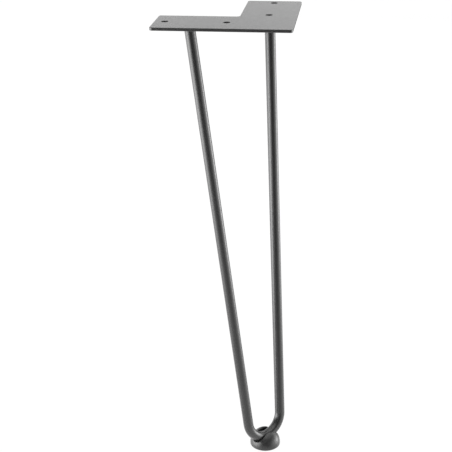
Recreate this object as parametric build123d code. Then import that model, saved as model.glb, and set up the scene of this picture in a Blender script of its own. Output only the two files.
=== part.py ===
from build123d import *
import math
import os

# A two-rod hairpin leg: an L-shaped screw plate, one round bar bent into a narrow U and welded
# under it, and a moulded foot pushed on to the bend.
# Origin: centre of the foot's flat underside. +X runs from one arm of the bar to the other,
# +Y from the plate's outer corner towards its inner notch, +Z up to the furniture.
# Driving dimensions, in millimetres.

LEG_HEIGHT = 411.0

# Mounting plate, cut from flat steel: two equal arms that meet at a square corner
PLATE_ARM_LENGTH = 118.7
PLATE_ARM_WIDTH = 48.9
PLATE_THICKNESS = 2.7
PLATE_CORNER_RADIUS = 2.7
PLATE_NOTCH_RADIUS = 3.7
PLATE_EDGE_ROUND = 0.4

# Screw holes, on the centreline of each plate arm
SCREW_HOLE_DIAMETER = 6.0
SCREW_HOLE_END_DISTANCE = 9.1
SCREW_HOLE_SPACING = 52.5

# Hairpin bar, its ends placed on the plate from the end and the centreline of each plate arm
ROD_DIAMETER = 9.5
ROD_BEND_RADIUS = 19.6
ROD_END_DISTANCE = 29.4
ROD_CENTRELINE_OFFSET = 2.4

# Fillet weld round each end of the bar
WELD_LEG = 2.7
WELD_CROWN = 0.4

# Foot, a slotted dome set in from both outer edges of the plate
FOOT_CORNER_INSET = 23.5
FOOT_DIAMETER = 28.8
FOOT_RIM_HEIGHT = 1.8
FOOT_RIM_ROUND = 0.9
FOOT_FLOOR = 4.9
FOOT_MOUTH_ROUND = 1.1

# How the bend sits in the foot: the seat is flatter than the bend, so the bar bears in its middle
FOOT_SEAT_EASE = 6.7
FOOT_SEAT_CLEARANCE = 0.1
FOOT_SIDE_CLEARANCE = 0.2

# Values that follow from the driving dimensions
ROD_RADIUS = ROD_DIAMETER / 2
FOOT_RADIUS = FOOT_DIAMETER / 2
FOOT_TOP = FOOT_RIM_HEIGHT + FOOT_RADIUS
PLATE_UNDERSIDE = LEG_HEIGHT - PLATE_THICKNESS
PLATE_CENTRELINE = PLATE_ARM_WIDTH / 2
PLATE_CORNER_Y = -FOOT_CORNER_INSET * math.sqrt(2)

# The plate's own axes start at its outer corner and run along its two arms
PLATE_PLANE = Plane(origin=(0, PLATE_CORNER_Y, PLATE_UNDERSIDE), x_dir=(1, 1, 0), z_dir=(0, 0, 1))

# Where the bar's axis meets the plate's underside
ROD_ALONG_ARM = PLATE_ARM_LENGTH - ROD_END_DISTANCE
ROD_ACROSS_ARM = PLATE_CENTRELINE + ROD_CENTRELINE_OFFSET
ROD_HALF_SPREAD = (ROD_ALONG_ARM - ROD_ACROSS_ARM) / math.sqrt(2)
ROD_TOP_Y = PLATE_CORNER_Y + (ROD_ALONG_ARM + ROD_ACROSS_ARM) / math.sqrt(2)

# The bar's plane leans from its ends on the plate to the middle of the dome's top, so the slot for
# it opens there. In that plane x runs across the arms and y up the lean from the bend's lowest point.
ROD_LEAN = math.atan2(ROD_TOP_Y, PLATE_UNDERSIDE - FOOT_TOP)
ROD_BOTTOM_Z = FOOT_FLOOR + FOOT_SEAT_CLEARANCE + ROD_RADIUS
ROD_BOTTOM_Y = (ROD_BOTTOM_Z - FOOT_TOP) * math.tan(ROD_LEAN)
ROD_TOP = (PLATE_UNDERSIDE - ROD_BOTTOM_Z) / math.cos(ROD_LEAN)
HAIRPIN_PLANE = Plane(
    origin=(0, ROD_BOTTOM_Y, ROD_BOTTOM_Z),
    x_dir=(1, 0, 0),
    z_dir=(0, -math.cos(ROD_LEAN), math.sin(ROD_LEAN)),
)

# Each arm is tangent to the bend. Seen from the bend's centre, its end lies at END_ANGLE, and the
# arm itself spreads by less, because it touches the bend one bend radius to the side.
END_REACH = math.hypot(ROD_HALF_SPREAD, ROD_TOP - ROD_BEND_RADIUS)
END_ANGLE = math.atan2(ROD_HALF_SPREAD, ROD_TOP - ROD_BEND_RADIUS)
ROD_SPREAD_ANGLE = END_ANGLE - math.asin(ROD_BEND_RADIUS / END_REACH)


def arm_point(side, overshoot=0.0):
    """A point on an arm's axis in the hairpin plane, past its end at the plate by overshoot."""
    x = ROD_HALF_SPREAD + overshoot * math.sin(ROD_SPREAD_ANGLE)
    y = ROD_TOP + overshoot * math.cos(ROD_SPREAD_ANGLE)
    return (side * x, y)


def hairpin_axis():
    """The bar's axis: arm, bend and arm, run one diameter past the plate's underside."""
    tangent_x = ROD_BEND_RADIUS * math.cos(ROD_SPREAD_ANGLE)
    tangent_y = ROD_BEND_RADIUS * (1 - math.sin(ROD_SPREAD_ANGLE))
    arm_one = Line(arm_point(-1, ROD_DIAMETER), (-tangent_x, tangent_y))
    bend = ThreePointArc((-tangent_x, tangent_y), (0, 0), (tangent_x, tangent_y))
    arm_two = Line((tangent_x, tangent_y), arm_point(1, ROD_DIAMETER))
    return HAIRPIN_PLANE * (arm_one + bend + arm_two)


def below_plate(shape):
    """What lies under the plane of the plate's underside."""
    return split(shape, bisect_by=Plane.XY.offset(PLATE_UNDERSIDE), keep=Keep.BOTTOM)


def screw_hole_points():
    """Hole centres in the plate's own axes: two on the centreline of each arm."""
    points = []
    for count in range(2):
        along = PLATE_ARM_LENGTH - SCREW_HOLE_END_DISTANCE - count * SCREW_HOLE_SPACING
        points.append((along, PLATE_CENTRELINE))
        points.append((PLATE_CENTRELINE, along))
    return points


def mounting_plate():
    """The L-shaped plate, with rounded corners, four screw holes and softened edges."""
    length = PLATE_ARM_LENGTH
    width = PLATE_ARM_WIDTH
    notch = (width, width)
    corners = [(0, 0), (length, 0), (length, width), notch, (width, length), (0, length)]
    outline = make_face(Polyline(*corners, close=True))
    outline = fillet(outline.vertices().sort_by_distance(notch)[1:], PLATE_CORNER_RADIUS)
    outline = fillet(outline.vertices().sort_by_distance(notch)[:1], PLATE_NOTCH_RADIUS)
    holes = Locations(*screw_hole_points()) * Circle(SCREW_HOLE_DIAMETER / 2)
    plate = extrude(outline - holes, amount=PLATE_THICKNESS)
    rims = plate.faces().filter_by(Axis.Z).edges()
    return PLATE_PLANE * fillet(rims, PLATE_EDGE_ROUND)


def hairpin_rod():
    """The bent bar: a round section swept along its axis, both ends trimmed flush to the plate."""
    path = hairpin_axis()
    section = Plane(origin=path @ 0, z_dir=path % 0) * Circle(ROD_RADIUS)
    return below_plate(sweep(section, path=path))


def weld_bead(side):
    """The weld round one end of the bar: a crowned fillet turned about the arm's own axis."""
    end = HAIRPIN_PLANE.from_local_coords(arm_point(side))
    past_end = HAIRPIN_PLANE.from_local_coords(arm_point(side, ROD_DIAMETER))
    arm = Plane(origin=end, z_dir=past_end - end)
    low = (ROD_RADIUS, -WELD_LEG)
    toe = (ROD_RADIUS + WELD_LEG, 0)
    crown = WELD_CROWN / math.sqrt(2)
    middle = (ROD_RADIUS + WELD_LEG / 2 + crown, -WELD_LEG / 2 - crown)
    face = ThreePointArc(low, middle, toe)
    above_plate = Polyline(toe, (ROD_RADIUS + 2 * WELD_LEG, WELD_LEG), (ROD_RADIUS, WELD_LEG), low)
    profile = Plane.XZ * make_face(face + above_plate)
    return below_plate(arm * revolve(profile, axis=Axis.Z))


def foot_blank():
    """The foot before it is slotted: a flat base, a short upright rim and a half-round dome."""
    half_turn = FOOT_RADIUS * math.sqrt(0.5)
    rim_top = (FOOT_RADIUS, FOOT_RIM_HEIGHT)
    base = Polyline((0, FOOT_TOP), (0, 0), (FOOT_RADIUS, 0), rim_top)
    dome = ThreePointArc(rim_top, (half_turn, FOOT_RIM_HEIGHT + half_turn), (0, FOOT_TOP))
    section = make_face(base + dome)
    rim = section.vertices().sort_by_distance((FOOT_RADIUS, 0))[:1]
    return revolve(Plane.XZ * fillet(rim, FOOT_RIM_ROUND), axis=Axis.Z)


def foot_slot():
    """The slot in the bar's plane, as a wheel with a round rim would cut it: the rim is the seat."""
    half_width = ROD_RADIUS + FOOT_SIDE_CLEARANCE
    seat_radius = ROD_BEND_RADIUS + ROD_RADIUS + FOOT_SEAT_EASE
    seat_bottom = -ROD_RADIUS - FOOT_SEAT_CLEARANCE
    wheel_radius = seat_radius - half_width
    wheel = Cylinder(wheel_radius, 2 * half_width) + Torus(wheel_radius, half_width)
    return HAIRPIN_PLANE * Pos(0, seat_bottom + seat_radius, 0) * wheel


def foot_glide():
    """The moulded foot, slotted for the bend, with the two lips of its mouth rounded."""
    foot = foot_blank() - foot_slot()
    lips = foot.edges().sort_by(Axis.Z)[-2:]
    return fillet(lips, FOOT_MOUTH_ROUND)


def main():
    """Write each piece of the leg to its own STEP file."""
    pieces = {
        "mounting_plate": mounting_plate(),
        "hairpin_rod": hairpin_rod(),
        "weld_left": weld_bead(-1),
        "weld_right": weld_bead(1),
        "foot_glide": foot_glide(),
    }
    os.makedirs("parts", exist_ok=True)
    for name, piece in pieces.items():
        export_step(piece, f"parts/{name}.step")


main()
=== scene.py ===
"""A two-rod hairpin furniture leg, dressed for a studio picture.

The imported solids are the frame. The plate and the foot keep their own meshes and get better
finishes. The bar and its two welds are made again here as finer surfaces of the same form.
All lengths are in metres, and all places are in the leg's own frame: origin under the foot,
+X from one arm of the bar to the other, +Z up to the furniture.
"""

import logging
import math
from dataclasses import dataclass, field
from enum import Enum

import bpy
import numpy as np
from mathutils import Matrix, Vector


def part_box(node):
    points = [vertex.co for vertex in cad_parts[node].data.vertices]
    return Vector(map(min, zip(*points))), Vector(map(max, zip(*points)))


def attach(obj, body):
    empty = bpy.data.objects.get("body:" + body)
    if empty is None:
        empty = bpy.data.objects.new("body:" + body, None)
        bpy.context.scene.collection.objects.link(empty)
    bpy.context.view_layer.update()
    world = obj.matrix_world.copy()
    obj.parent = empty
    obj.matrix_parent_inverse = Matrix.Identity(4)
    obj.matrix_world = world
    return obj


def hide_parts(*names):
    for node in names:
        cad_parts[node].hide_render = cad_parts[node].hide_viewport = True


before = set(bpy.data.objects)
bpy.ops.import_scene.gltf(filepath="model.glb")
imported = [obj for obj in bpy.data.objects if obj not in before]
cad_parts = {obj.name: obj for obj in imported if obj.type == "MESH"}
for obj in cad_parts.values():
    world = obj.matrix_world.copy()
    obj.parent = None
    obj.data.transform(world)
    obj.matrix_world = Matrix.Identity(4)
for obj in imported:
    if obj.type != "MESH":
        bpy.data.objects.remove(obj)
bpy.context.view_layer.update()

ROOT_BODY = "root"
GLOW_MARK = "glow"
FULL_TURN = 2 * math.pi
ACROSS = np.array([1.0, 0.0, 0.0])
UP = np.array([0.0, 0.0, 1.0])
LOG = logging.getLogger("hairpin_leg")

# How ragged the noise in the finishes is, and the span in which most of its values lie
NOISE_DETAIL = 2.0
NOISE_SPAN = (0.3, 0.7)


class Side(Enum):
    """The bar's two arms, by the sign of their X."""

    LEFT = -1
    RIGHT = 1


@dataclass
class Surface:
    """A surface as whole arrays, before it becomes a mesh.

    Attributes:
        points: one row of x, y, z for each vertex.
        faces: arrays of vertex numbers, one row for each face, all quads or all triangles.
        marks: named values for each vertex, which a finish may read.
    """

    points: np.ndarray
    faces: list[np.ndarray]
    marks: dict[str, np.ndarray] = field(default_factory=dict)

    def to_piece(self, name: str, finish: bpy.types.Material) -> bpy.types.Object:
        """Put the arrays into a smooth mesh object at the origin.

        Args:
            name: the piece's name.
            finish: what it is coated with or made of.

        Returns:
            The new object, linked to the scene.
        """
        mesh = bpy.data.meshes.new(name)
        faces = [row for block in self.faces for row in block.tolist()]
        mesh.from_pydata(self.points.tolist(), [], faces)
        mesh.shade_smooth()
        for mark, values in self.marks.items():
            attribute = mesh.attributes.new(mark, "FLOAT", "POINT")
            attribute.data.foreach_set("value", values.astype(np.float32).ravel())
        mesh.materials.append(finish)
        piece = bpy.data.objects.new(name, mesh)
        bpy.context.scene.collection.objects.link(piece)
        return piece


def grid_quads(rows: int, columns: int, rows_close: bool) -> np.ndarray:
    """Join a grid of points that closes on itself from its last column to its first.

    Args:
        rows: how many rows of points there are.
        columns: how many points each row has.
        rows_close: whether the last row joins the first one too.

    Returns:
        An array of quads, turned so that row, column and outward direction are right-handed.
    """
    first = np.arange(rows if rows_close else rows - 1)
    row, column = np.meshgrid(first, np.arange(columns), indexing="ij")
    next_row = (row + 1) % rows
    next_column = (column + 1) % columns
    corners = [
        row * columns + column,
        next_row * columns + column,
        next_row * columns + next_column,
        row * columns + next_column,
    ]
    return np.stack(corners, axis=-1).reshape(-1, 4)


def unit(vectors: np.ndarray) -> np.ndarray:
    """The same directions, each of length 1."""
    return vectors / np.linalg.norm(vectors, axis=-1, keepdims=True)


def grey(level: float) -> tuple[float, float, float, float]:
    """A neutral colour of that linear level, for a colour socket."""
    return (level, level, level, 1.0)


class FinishNodes:
    """The nodes of a new material, with short ways to add to them and join them."""

    def __init__(self, name: str) -> None:
        """Start the material with its shader.

        Args:
            name: the material's name.
        """
        self.material = bpy.data.materials.new(name)
        self.material.use_nodes = True
        self.tree = self.material.node_tree
        self.shader = self.tree.nodes["Principled BSDF"]

    def feed(self, node: bpy.types.Node, inputs: dict[str, object]) -> None:
        """Link outputs to a node's sockets, or set the sockets to numbers and colours.

        Args:
            node: the node.
            inputs: what goes into its sockets by name, a value or another node's output.
        """
        for socket, value in inputs.items():
            if isinstance(value, bpy.types.NodeSocket):
                self.tree.links.new(value, node.inputs[socket])
            else:
                node.inputs[socket].default_value = value

    def add(self, kind: str, inputs: dict[str, object], **settings: object) -> bpy.types.Node:
        """Add a node.

        Args:
            kind: the node's type.
            inputs: what goes into its sockets by name, a value or another node's output.
            settings: the node's own options.

        Returns:
            The new node.
        """
        node = self.tree.nodes.new(kind)
        for option, value in settings.items():
            setattr(node, option, value)
        self.feed(node, inputs)
        return node

    def mark(self, name: str) -> bpy.types.NodeSocket:
        """The values of a surface's mark."""
        return self.add("ShaderNodeAttribute", {}, attribute_name=name).outputs["Fac"]

    def noise(self, size: float) -> bpy.types.NodeSocket:
        """Soft noise on object coordinates.

        Args:
            size: about how far across its lumps are.

        Returns:
            The noise, from 0 to 1.
        """
        place = self.add("ShaderNodeTexCoord", {}).outputs["Object"]
        inputs = {"Vector": place, "Scale": 1 / size, "Detail": NOISE_DETAIL}
        return self.add("ShaderNodeTexNoise", inputs).outputs["Fac"]

    def spread(self, noise: bpy.types.NodeSocket, low: float, high: float) -> bpy.types.NodeSocket:
        """Carry noise from where most of it lies over to a range of its own, held at both ends.

        Args:
            noise: the noise's output.
            low: what its low values become.
            high: what its high values become.

        Returns:
            The output in its new range.
        """
        inputs = {"Value": noise, "From Min": NOISE_SPAN[0], "From Max": NOISE_SPAN[1]}
        inputs.update({"To Min": low, "To Max": high})
        return self.add("ShaderNodeMapRange", inputs).outputs["Result"]

    def mottle(self, size: float, shades: tuple[float, float]) -> bpy.types.NodeSocket:
        """Patches in two greys that run into each other.

        Args:
            size: how far apart the patches lie.
            shades: the darker linear grey and the paler one.

        Returns:
            The colour.
        """
        share = self.spread(self.noise(size), 0.0, 1.0)
        inputs = {"Fac": share, "Color1": grey(shades[0]), "Color2": grey(shades[1])}
        return self.add("ShaderNodeMixRGB", inputs).outputs["Color"]

    def bump(self, height: bpy.types.NodeSocket, depth: float,
             under: bpy.types.NodeSocket | None = None) -> bpy.types.NodeSocket:
        """Raise the surface by a height map.

        Args:
            height: the map, from 0 to 1.
            depth: how far its top stands above its bottom.
            under: the normal of a coarser bump below this one.

        Returns:
            The bumped normal.
        """
        inputs = {"Height": height, "Distance": depth}
        if under is not None:
            inputs["Normal"] = under
        return self.add("ShaderNodeBump", inputs).outputs["Normal"]


@dataclass(frozen=True)
class PowderCoat:
    """Satin black powder coat, baked on, so it has a faint orange peel.

    Attributes:
        name: the material's name.
        shades: the coat's linear grey, from its darker patches to its paler ones.
        patch_size: how far apart those patches lie.
        gloss: the roughness, from its smoother patches to its duller ones.
        gloss_size: how far apart the duller patches lie.
        peel_size: the distance between the peel's dimples.
        peel_depth: how deep they are.
        grain_size: the size of the coat's finest grain.
        grain_depth: how deep that is.
    """

    name: str = "satin_black_powder_coat"
    shades: tuple[float, float] = (0.0155, 0.0185)
    patch_size: float = 0.03
    gloss: tuple[float, float] = (0.238, 0.262)
    gloss_size: float = 0.004
    peel_size: float = 0.0022
    peel_depth: float = 0.00004
    grain_size: float = 0.0008
    grain_depth: float = 0.00005

    def material(self) -> bpy.types.Material:
        """Make the coat's material, with its grain on top of its peel.

        Returns:
            The material.
        """
        nodes = FinishNodes(self.name)
        peel = nodes.bump(nodes.noise(self.peel_size), self.peel_depth)
        nodes.feed(nodes.shader, {
            "Base Color": nodes.mottle(self.patch_size, self.shades),
            "Roughness": nodes.spread(nodes.noise(self.gloss_size), *self.gloss),
            "Normal": nodes.bump(nodes.noise(self.grain_size), self.grain_depth, peel),
        })
        return nodes.material


@dataclass(frozen=True)
class MouldedPlastic:
    """Black moulded plastic: an even dull sheen with the mould's fine spark-eroded grain.

    Attributes:
        name: the material's name.
        shades: the plastic's linear grey, from its darker patches to its paler ones.
        patch_size: how far apart those patches lie.
        gloss: the roughness, from its smoother patches to its duller ones.
        gloss_size: how far apart the duller patches lie.
        grain_size: the size of the mould's grain.
        grain_depth: how deep that is.
    """

    name: str = "black_moulded_plastic"
    shades: tuple[float, float] = (0.012, 0.016)
    patch_size: float = 0.006
    gloss: tuple[float, float] = (0.3, 0.36)
    gloss_size: float = 0.003
    grain_size: float = 0.0009
    grain_depth: float = 0.00009

    def material(self) -> bpy.types.Material:
        """Make the plastic's material.

        Returns:
            The material.
        """
        nodes = FinishNodes(self.name)
        nodes.feed(nodes.shader, {
            "Base Color": nodes.mottle(self.patch_size, self.shades),
            "Roughness": nodes.spread(nodes.noise(self.gloss_size), *self.gloss),
            "Normal": nodes.bump(nodes.noise(self.grain_size), self.grain_depth),
        })
        return nodes.material


@dataclass(frozen=True)
class LitScreen:
    """A dull screen with light behind it, for what stands about the leg.

    Attributes:
        name: the material's name.
        shade: the screen's own linear grey.
        glow: the radiance of the light that comes through it, or the mark that holds that.
    """

    name: str
    shade: float
    glow: float | str

    def material(self) -> bpy.types.Material:
        """Make the screen's material.

        Returns:
            The material.
        """
        nodes = FinishNodes(self.name)
        nodes.feed(nodes.shader, {
            "Base Color": grey(self.shade),
            "Specular IOR Level": 0.0,
            "Emission Color": grey(1.0),
            "Emission Strength": nodes.mark(self.glow) if isinstance(self.glow, str) else self.glow,
        })
        return nodes.material


@dataclass
class HairpinBar:
    """The round bar: two straight arms and the bend between them, in one leaning plane.

    Attributes:
        finish: the coat on it.
        radius: the bar's own radius.
        bend_radius: the bend's radius, at the bar's axis.
        end_along: how far each end stands from the plate's outer corner, along its arm of the plate.
        end_inset: how far it stands in from the outer edge of that arm.
        foot_inset: how far the foot's axis stands in from both outer edges of the plate.
        dome_top: the height on the foot's axis that the bar's plane passes through.
        low_point: the height of the axis at the bottom of the bend.
        plate_underside: the height at which the arms end.
        rings_arm: rings of points along each arm.
        rings_bend: rings of points round the bend.
        points_round: points in each ring.
    """

    finish: bpy.types.Material
    radius: float = 0.00475
    bend_radius: float = 0.0196
    end_along: float = 0.0893
    end_inset: float = 0.02685
    foot_inset: float = 0.0235
    dome_top: float = 0.0162
    low_point: float = 0.00975
    plate_underside: float = field(default_factory=lambda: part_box("mounting_plate")[0].z)
    rings_arm: int = 140
    rings_bend: int = 120
    points_round: int = 72

    @property
    def end_spread(self) -> float:
        """How far each end stands from the middle plane: the plate's arms run off at 45 degrees."""
        return (self.end_along - self.end_inset) / math.sqrt(2)

    @property
    def end_depth(self) -> float:
        """The ends' Y, from the foot's axis."""
        return (self.end_along + self.end_inset - 2 * self.foot_inset) / math.sqrt(2)

    @property
    def lean(self) -> float:
        """The angle between the bar's plane and upright."""
        return math.atan2(self.end_depth, self.plate_underside - self.dome_top)

    @property
    def height(self) -> float:
        """How far up their plane the ends lie above the bottom of the bend."""
        return (self.plate_underside - self.low_point) / math.cos(self.lean)

    @property
    def upward(self) -> np.ndarray:
        """The way up the bar's plane, of length 1."""
        return np.array([0.0, math.sin(self.lean), math.cos(self.lean)])

    @property
    def facing(self) -> np.ndarray:
        """The way out of the bar's plane, of length 1."""
        return np.array([0.0, -math.cos(self.lean), math.sin(self.lean)])

    @property
    def lowest(self) -> np.ndarray:
        """The axis's lowest point."""
        depth = (self.low_point - self.dome_top) * math.tan(self.lean)
        return np.array([0.0, depth, self.low_point])

    @property
    def spread(self) -> float:
        """The angle between each arm and the middle plane.

        Seen from the bend's centre, an arm's end lies at one angle, and the arm itself spreads by
        less, because it touches the bend one bend radius to the side.

        Returns:
            The angle, in radians.
        """
        above_centre = self.height - self.bend_radius
        reach = math.hypot(self.end_spread, above_centre)
        return math.atan2(self.end_spread, above_centre) - math.asin(self.bend_radius / reach)

    def in_space(self, across: np.ndarray, up: np.ndarray) -> np.ndarray:
        """Carry places in the bar's plane into the leg's frame."""
        return self.lowest + np.outer(across, ACROSS) + np.outer(up, self.upward)

    def end(self, side: Side) -> np.ndarray:
        """The place where an arm's axis meets the plate's underside."""
        return self.in_space(np.array([side.value * self.end_spread]), np.array([self.height]))[0]

    def arm_direction(self, side: Side) -> np.ndarray:
        """The way up an arm, of length 1."""
        return side.value * math.sin(self.spread) * ACROSS + math.cos(self.spread) * self.upward

    def axis(self) -> tuple[np.ndarray, np.ndarray]:
        """The bar's axis, from the left end down round the bend and up to the right end.

        The bend is a circle about a point one bend radius above the lowest one. It runs from the
        angle spread below the horizontal on the left to the same angle on the right, where the
        arms leave it as tangents.

        Returns:
            The axis's points and its directions of length 1, one row for each ring.
        """
        turn = np.linspace(math.pi + self.spread, FULL_TURN - self.spread, self.rings_bend)
        bend_across = self.bend_radius * np.cos(turn)
        bend_up = self.bend_radius * (1 + np.sin(turn))
        bend = self.in_space(bend_across, bend_up)
        bend_along = np.outer(-np.sin(turn), ACROSS) + np.outer(np.cos(turn), self.upward)
        share = np.linspace(0, 1, self.rings_arm, endpoint=False)[:, None]
        left = self.end(Side.LEFT) * (1 - share) + bend[0] * share
        right = bend[-1] * share[::-1] + self.end(Side.RIGHT) * (1 - share[::-1])
        left_along = np.tile(-self.arm_direction(Side.LEFT), (self.rings_arm, 1))
        right_along = np.tile(self.arm_direction(Side.RIGHT), (self.rings_arm, 1))
        points = np.concatenate([left, bend, right])
        return points, np.concatenate([left_along, bend_along, right_along])

    def surface(self) -> Surface:
        """The bar's skin: a circle carried along the axis, with both ends cut flush to the plate.

        A point lies one radius from the axis, at an angle between the normal of the bar's plane
        and the axis's own sideways direction. The points of the two end rings slide along the
        arm until they reach the plate, and a fan of triangles closes each end.

        Returns:
            The closed surface.
        """
        axis, along = self.axis()
        sideways = np.cross(along, self.facing)
        angle = np.linspace(0, FULL_TURN, self.points_round, endpoint=False)
        ring = np.cos(angle)[None, :, None] * sideways[:, None, :]
        ring = ring + np.sin(angle)[None, :, None] * self.facing
        points = axis[:, None, :] + self.radius * ring
        for row in (0, -1):
            slide = (self.plate_underside - points[row, :, 2]) / along[row, 2]
            points[row] += slide[:, None] * along[row]
        rings = len(axis)
        quads = grid_quads(rings, self.points_round, rows_close=False)
        count = rings * self.points_round
        here = np.arange(self.points_round)
        after = (here + 1) % self.points_round
        last = count - self.points_round
        start_fan = np.stack([np.full_like(here, count), here, after], axis=-1)
        end_fan = np.stack([np.full_like(here, count + 1), last + after, last + here], axis=-1)
        every = np.concatenate([points.reshape(-1, 3), axis[[0, -1]]])
        return Surface(every, [quads, start_fan, end_fan])

    def build(self) -> bpy.types.Object:
        """Make the bar's piece in place of its node.

        Returns:
            The new object.
        """
        piece = self.surface().to_piece("hairpin_bar", self.finish)
        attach(piece, ROOT_BODY)
        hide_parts("hairpin_rod")
        return piece


@dataclass
class WeldBead:
    """The fillet weld round one end of the bar, with the ripples that the torch left.

    Attributes:
        side: which arm it is on.
        bar: the bar that it joins to the plate.
        finish: the coat on it.
        leg: how far it reaches along the bar and out on the plate.
        crown: how far its face stands proud of a flat one.
        sink: how deep its toes are buried in the bar and the plate.
        ripples: how many ripples there are in the whole turn.
        ripple_height: how far a ripple stands up from the face.
        ripple_lag: how far a ripple's toes lag behind its middle, as an angle of its own wave.
        ripple_lean: how much steeper a ripple is ahead than behind.
        wander: waves in the leg's length, each as its count in the turn, its share and its start.
        points_round: points round the bar.
        points_face: points across the face.
    """

    side: Side
    bar: HairpinBar
    finish: bpy.types.Material
    leg: float = 0.0027
    crown: float = 0.0004
    sink: float = 0.00008
    ripples: int = 24
    ripple_height: float = 0.00013
    ripple_lag: float = 1.9
    ripple_lean: float = 0.45
    wander: tuple[tuple[int, float, float], ...] = ((2, 0.035, 0.7), (5, 0.02, 2.1), (9, 0.015, 0.0))
    points_round: int = 360
    points_face: int = 20

    def surface(self) -> Surface:
        """The bead's skin, carried once round the arm.

        At each angle three places are found: the root, where the bar meets the plate, the low
        toe, one leg down the bar, and the far toe, one leg out on the plate. The face runs from
        the low toe to the far one, and stands out from that line by a parabola times the crown
        and a ripple. The ripple is a wave in the angle, steeper ahead than behind, and it lags
        at the toes. Straight backs on the plate and the bar close the section.

        Returns:
            The closed surface, a ring with no ends.
        """
        angle = np.linspace(0, FULL_TURN, self.points_round, endpoint=False)
        along = self.bar.arm_direction(self.side)
        sideways = np.cross(along, self.bar.facing)
        outward = np.outer(np.cos(angle), sideways) + np.outer(np.sin(angle), self.bar.facing)
        skin = self.bar.end(self.side) + self.bar.radius * outward
        root = skin + ((self.bar.plate_underside - skin[:, 2]) / along[2])[:, None] * along
        waves = [share * np.sin(count * angle + start) for count, share, start in self.wander]
        leg = (self.leg * (1 + sum(waves)))[:, None]
        flat = unit(outward - outward[:, 2:] * UP)
        low_toe = root - leg * along - self.sink * outward
        far_toe = root + leg * flat + self.sink * UP
        share = np.linspace(0, 1, self.points_face)
        arch = 4 * share * (1 - share)
        wave = self.ripples * angle[:, None] + self.ripple_lag * (1 - arch)
        ripple = np.sin(wave + self.ripple_lean * np.sin(wave))
        proud = arch * (self.crown + self.ripple_height * ripple)
        face = low_toe[:, None] * (1 - share)[:, None] + far_toe[:, None] * share[:, None]
        face = face + proud[:, :, None] * unit(flat - along)[:, None]
        buried = root - self.sink * outward + self.sink * UP
        points = np.concatenate([face, buried[:, None]], axis=1)
        quads = grid_quads(self.points_round, self.points_face + 1, rows_close=True)
        return Surface(points.reshape(-1, 3), [quads[:, ::-1]])

    def build(self) -> bpy.types.Object:
        """Make the bead's piece in place of its node.

        Returns:
            The new object.
        """
        node = f"weld_{self.side.name.lower()}"
        piece = self.surface().to_piece(f"{node}_bead", self.finish)
        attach(piece, ROOT_BODY)
        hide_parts(node)
        return piece


@dataclass
class CarriedNode:
    """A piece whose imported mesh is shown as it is, in a better finish.

    Attributes:
        node: the node's name.
        finish: what it is coated with or moulded from.
    """

    node: str
    finish: bpy.types.Material

    def build(self) -> bpy.types.Object:
        """Give the node its finish.

        Returns:
            The node's object.
        """
        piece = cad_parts[self.node]
        for place in piece.material_slots:
            place.material = self.finish
        return piece


@dataclass(frozen=True)
class Lamp:
    """A lamp outside the light tent, which shows on the cloth as a soft glow.

    Attributes:
        radiance: how bright the glow's middle is, where white paper in the picture is 1.
        bearing: the way to its middle from the leg, in degrees to the left of the camera.
        breadth: how far it spreads sideways, in degrees.
        height: the height of its middle.
        rise: how far it spreads up and down.
    """

    radiance: float
    bearing: float
    breadth: float
    height: float
    rise: float

    def glow(self, bearing: np.ndarray, height: np.ndarray) -> np.ndarray:
        """How bright the lamp makes the cloth.

        The glow falls off as a bell curve both ways: e to the power of minus half the sum of two
        squares, the angle from its middle over the breadth and the height from it over the rise.

        Args:
            bearing: the places' bearings, in degrees to the left of the camera.
            height: the places' heights.

        Returns:
            The lamp's radiance at each place.
        """
        aside = (bearing - self.bearing + 180.0) % 360.0 - 180.0
        squares = (aside / self.breadth) ** 2 + ((height - self.height) / self.rise) ** 2
        return self.radiance * np.exp(-squares / 2)


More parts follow.
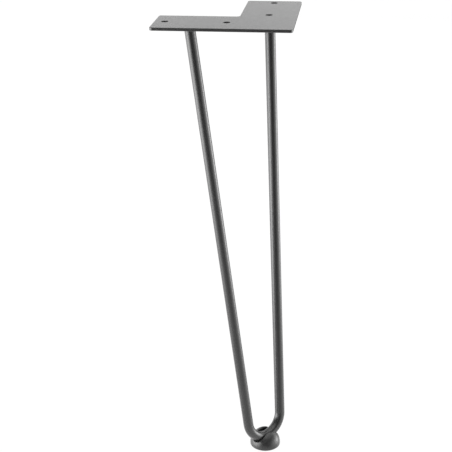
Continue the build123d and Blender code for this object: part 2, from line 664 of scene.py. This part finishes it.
@dataclass(frozen=True)
class LightTent:
    """A round tent of white cloth about the leg, with lamps outside it. The camera sees through it.

    Attributes:
        lamps: the lamps outside it.
        radius: the tent's radius.
        bottom: the height of its base, which shows only in the gloss on the leg.
        top: the height of its lid.
        hub: the radius of the small opening in the middle of the base and the lid.
        wall_glow: the cloth's radiance where no lamp shines on it.
        base_glow: the radiance of the base and the lowest part of the wall.
        lid_glow: the radiance of the lid's middle.
        skirt: the height at which the wall passes from the base's radiance to its own.
        skirt_fade: how far above and below that height the change reaches.
        points_round: points round the wall.
        rows_wall: rows of points up the wall.
    """

    lamps: tuple[Lamp, ...] = (
        # On the left, a narrow glow halfway up the leg and a wider one lower down
        Lamp(radiance=12.5, bearing=61.0, breadth=15.0, height=0.24, rise=0.2),
        Lamp(radiance=9.3, bearing=81.0, breadth=21.0, height=-0.3, rise=0.3),
        # On the right, a narrow glow, and further behind a high wide one for the plate's top
        Lamp(radiance=10.6, bearing=255.0, breadth=12.0, height=-0.03, rise=0.33),
        Lamp(radiance=3.7, bearing=225.0, breadth=23.0, height=1.05, rise=0.4),
        # Weak fill from behind on the left and from in front on the right
        Lamp(radiance=2.9, bearing=145.0, breadth=25.0, height=0.4, rise=0.45),
        Lamp(radiance=3.0, bearing=290.0, breadth=18.0, height=0.1, rise=0.45),
    )
    radius: float = 2.0
    bottom: float = -1.8
    top: float = 1.6
    hub: float = 0.02
    wall_glow: float = 0.12
    base_glow: float = 1.5
    lid_glow: float = 3.2
    skirt: float = -0.53
    skirt_fade: float = 0.53
    points_round: int = 60
    rows_wall: int = 44

    def wall(self, bearing: np.ndarray, height: np.ndarray) -> np.ndarray:
        """The wall's radiance: its own, changed to the base's by a smooth step, and the lamps' glows.

        Args:
            bearing: the places' bearings, in degrees to the left of the camera.
            height: the places' heights.

        Returns:
            The radiance at each place.
        """
        climb = np.clip((height - self.skirt + self.skirt_fade) / (2 * self.skirt_fade), 0, 1)
        step = climb**2 * (3 - 2 * climb)
        cloth = self.base_glow + (self.wall_glow - self.base_glow) * step
        return cloth + sum(lamp.glow(bearing, height) for lamp in self.lamps)

    def build(self, camera_azimuth: float) -> None:
        """Put up the tent: a drum whose cloth shines by a mark.

        Args:
            camera_azimuth: the camera's own bearing about the leg, in degrees.
        """
        bearing = np.linspace(0, 360, self.points_round, endpoint=False)
        height = np.linspace(self.bottom, self.top, self.rows_wall)
        wall = self.wall(bearing[None, :], height[:, None])
        base = np.full((1, self.points_round), self.base_glow)
        lid = np.full((1, self.points_round), self.lid_glow)
        heights = np.concatenate([[self.bottom], height, [self.top]])
        radii = np.concatenate([[self.hub], np.full(self.rows_wall, self.radius), [self.hub]])
        turn = np.radians(camera_azimuth - bearing)
        points = np.stack([
            np.outer(radii, np.sin(turn)),
            np.outer(radii, -np.cos(turn)),
            np.outer(heights, np.ones(self.points_round)),
        ], axis=-1)
        quads = grid_quads(len(radii), self.points_round, rows_close=False)
        marks = {GLOW_MARK: np.concatenate([base, wall, lid])}
        cloth = LitScreen("lit_cloth", shade=0.0, glow=GLOW_MARK).material()
        tent = Surface(points.reshape(-1, 3), [quads], marks).to_piece("light_tent", cloth)
        tent.visible_camera = False


@dataclass(frozen=True)
class Studio:
    """The pale floor, the light tent and the camera.

    Attributes:
        azimuth: the camera's bearing about the leg, in degrees, 0 looking along +Y.
        elevation: the camera's height angle, in degrees.
        roll: how far the camera leans over, in degrees.
        target: the point that the camera looks at.
        distance: how far the camera stands from that point.
        lens: the focal length in millimetres.
        sensor: the picture's width on the camera's sensor, in millimetres.
        floor_size: the floor's width.
        floor_drop: how far the floor lies under the foot, so that the two faces don't share a plane.
        floor_shade: the linear grey of the floor's board.
        floor_glow: how brightly the board is lit from under, as a light table is.
    """

    azimuth: float = -37.64
    elevation: float = 22.56
    roll: float = -0.66
    target: tuple[float, float, float] = (-0.0156, 0.0382, 0.2205)
    distance: float = 1.004
    lens: float = 87.44
    sensor: float = 36.0
    floor_size: float = 40.0
    floor_drop: float = 0.0001
    floor_shade: float = 0.05
    floor_glow: float = 0.96

    def build(self) -> None:
        """Set up the floor, the room, the light and the camera."""
        self.build_floor()
        self.build_room()
        LightTent().build(self.azimuth)
        self.build_camera()

    def build_floor(self) -> None:
        """Lay a wide square floor of pale board, which gloss and the tent's light pass through."""
        half = self.floor_size / 2
        low = -self.floor_drop
        corners = np.array([
            [-half, -half, low],
            [half, -half, low],
            [half, half, low],
            [-half, half, low],
        ])
        square = np.arange(len(corners))[None]
        board = LitScreen("pale_board", self.floor_shade, self.floor_glow).material()
        floor = Surface(corners, [square]).to_piece("studio_floor", board)
        floor.visible_glossy = False
        floor.visible_shadow = False

    def build_room(self) -> None:
        """Make the room outside the tent plain white, and show white as white, with no tone mapping."""
        world = bpy.data.worlds.new("white_room")
        world.use_nodes = True
        world.node_tree.nodes["Background"].inputs["Color"].default_value = grey(1.0)
        scene = bpy.context.scene
        scene.world = world
        scene.view_settings.view_transform = "Standard"

    def build_camera(self) -> None:
        """Stand the camera at the picture's viewing angle and frame the leg."""
        turn = math.radians(self.azimuth)
        rise = math.radians(self.elevation)
        level = math.cos(rise)
        back = Vector((math.sin(turn) * level, -math.cos(turn) * level, math.sin(rise)))
        lens = bpy.data.cameras.new("picture_camera")
        lens.sensor_width = self.sensor
        lens.lens = self.lens
        lens.clip_end = 2 * self.floor_size
        camera = bpy.data.objects.new("picture_camera", lens)
        stand = (-back).to_track_quat("-Z", "Y").to_matrix().to_4x4()
        tilt = Matrix.Rotation(math.radians(self.roll), 4, "Z")
        place = Vector(self.target) + back * self.distance
        camera.matrix_world = Matrix.Translation(place) @ stand @ tilt
        bpy.context.scene.collection.objects.link(camera)
        bpy.context.scene.camera = camera


def main() -> None:
    """Build and dress each piece, set up the studio and report what was made."""
    logging.basicConfig(level=logging.INFO, format="%(name)s: %(message)s")
    coat = PowderCoat().material()
    plastic = MouldedPlastic().material()
    bar = HairpinBar(coat)
    parts = [
        CarriedNode("mounting_plate", coat),
        bar,
        WeldBead(Side.LEFT, bar, coat),
        WeldBead(Side.RIGHT, bar, coat),
        CarriedNode("foot_glide", plastic),
    ]
    for part in parts:
        piece = part.build()
        LOG.info("%s has %d faces", piece.name, len(piece.data.polygons))
    Studio().build()


if __name__ == "__main__":
    main()
